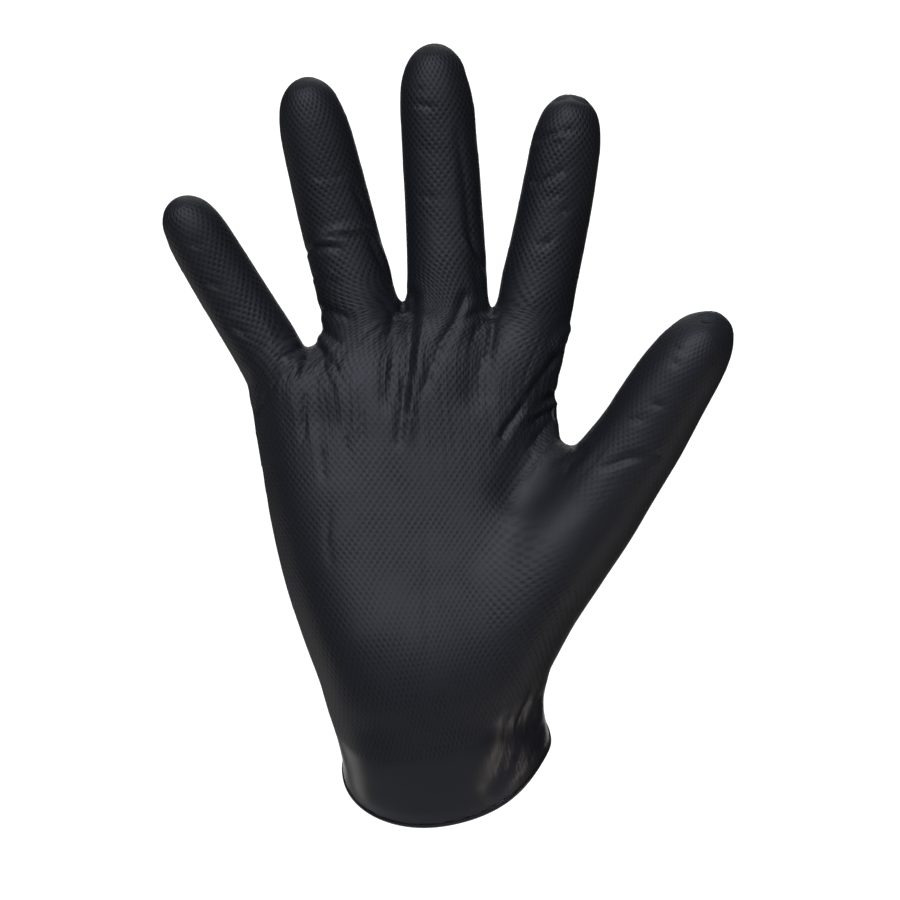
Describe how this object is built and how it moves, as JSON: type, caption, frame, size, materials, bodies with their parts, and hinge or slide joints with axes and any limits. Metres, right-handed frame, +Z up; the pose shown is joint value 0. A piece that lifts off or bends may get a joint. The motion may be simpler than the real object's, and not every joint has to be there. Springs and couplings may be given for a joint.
{
  "type": "exam glove",
  "caption": "Thin black textured exam glove as worn on an open hand, hollow from the beaded cuff to the fingertips, with the cuff bent back",
  "frame": {"origin": "the middle of the cuff's mouth, where the wrist goes in", "axes": "+Z up along the hand to the fingertips, the palm faces -Y, the thumb is at +X, and the cuff bends back towards +Y"},
  "size_m": [0.1717, 0.0619, 0.2382],
  "materials": {
    "nitrile": "satin",
    "nitrile_bead": "satin"
  },
  "bodies": {
    "root": {"glove_film": "nitrile", "cuff_bead": "nitrile_bead"}
  },
  "joints": []
}
